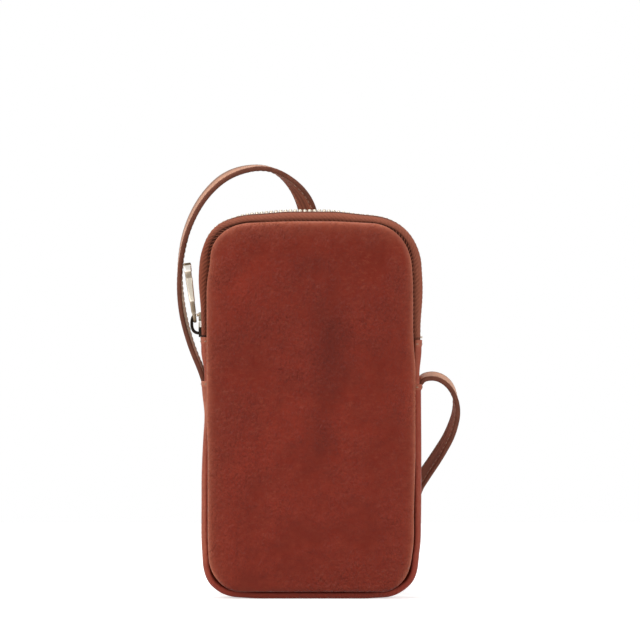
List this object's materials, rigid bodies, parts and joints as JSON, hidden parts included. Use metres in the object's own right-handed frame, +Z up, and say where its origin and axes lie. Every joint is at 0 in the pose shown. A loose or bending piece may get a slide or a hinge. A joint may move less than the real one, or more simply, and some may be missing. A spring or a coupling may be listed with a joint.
{
  "type": "phone pouch",
  "caption": "Upright leather phone pouch with rounded corners, a zip round its upper half, a metal pull tab and a flat leather shoulder strap.",
  "frame": {"origin": "middle of the flat base that the pouch stands on", "axes": "+Z up along the pouch, -Y out of its front, +X to the right seen from the front"},
  "size_m": [0.1356, 0.1323, 0.2079],
  "materials": {
    "panel_leather": "satin, mottled red-brown",
    "gusset_leather": "satin red-brown",
    "strap_leather": "glossy red-brown with dark painted edges",
    "lining": "plain cotton twill",
    "zip_tape": "woven brown tape",
    "zip_metal": "polished pale metal",
    "slider_metal": "polished pale nickel"
  },
  "bodies": {
    "pouch": {"front_panel_lower": "panel_leather", "back_panel": "panel_leather", "gusset": "gusset_leather", "left_zip_tab": "gusset_leather", "right_zip_tab": "gusset_leather", "front_lining_lower": "lining", "back_lining": "lining", "gusset_lining": "lining", "left_front_tape_end": "zip_tape", "right_front_tape_end": "zip_tape", "back_tape": "zip_tape", "front_teeth_ends": "zip_metal", "back_teeth": "zip_metal", "zip_top_stops": "zip_metal", "zip_bottom_stop": "zip_metal", "strap_left": "strap_leather", "strap_coil": "strap_leather", "strap_right": "strap_leather", "strap_tie": "strap_leather"},
    "front_flap": {"front_panel_upper": "panel_leather", "front_lining_upper": "lining", "front_tape": "zip_tape", "front_teeth": "zip_metal"},
    "zip_slider": {"slider_body": "slider_metal", "slider_crown": "slider_metal"},
    "pull_tab": {"pull_tab": "slider_metal"}
  },
  "joints": [
    {"name": "mouth_open", "type": "hinge", "parent": "pouch", "child": "front_flap", "pos_m": [0, -0.013, 0.139], "axis": [1, 0, 0], "range_deg": [0, 35], "stiffness_Nm_per_rad": 0.03},
    {"name": "zip_slide", "type": "slide", "parent": "pouch", "child": "zip_slider", "axis": [0, 0, 1], "range_m": [0, 0.024]},
    {"name": "pull_swing", "type": "hinge", "parent": "zip_slider", "child": "pull_tab", "pos_m": [-0.05537, 0, 0.133], "axis": [0, -1, 0], "range_deg": [-5, 100]}
  ]
}
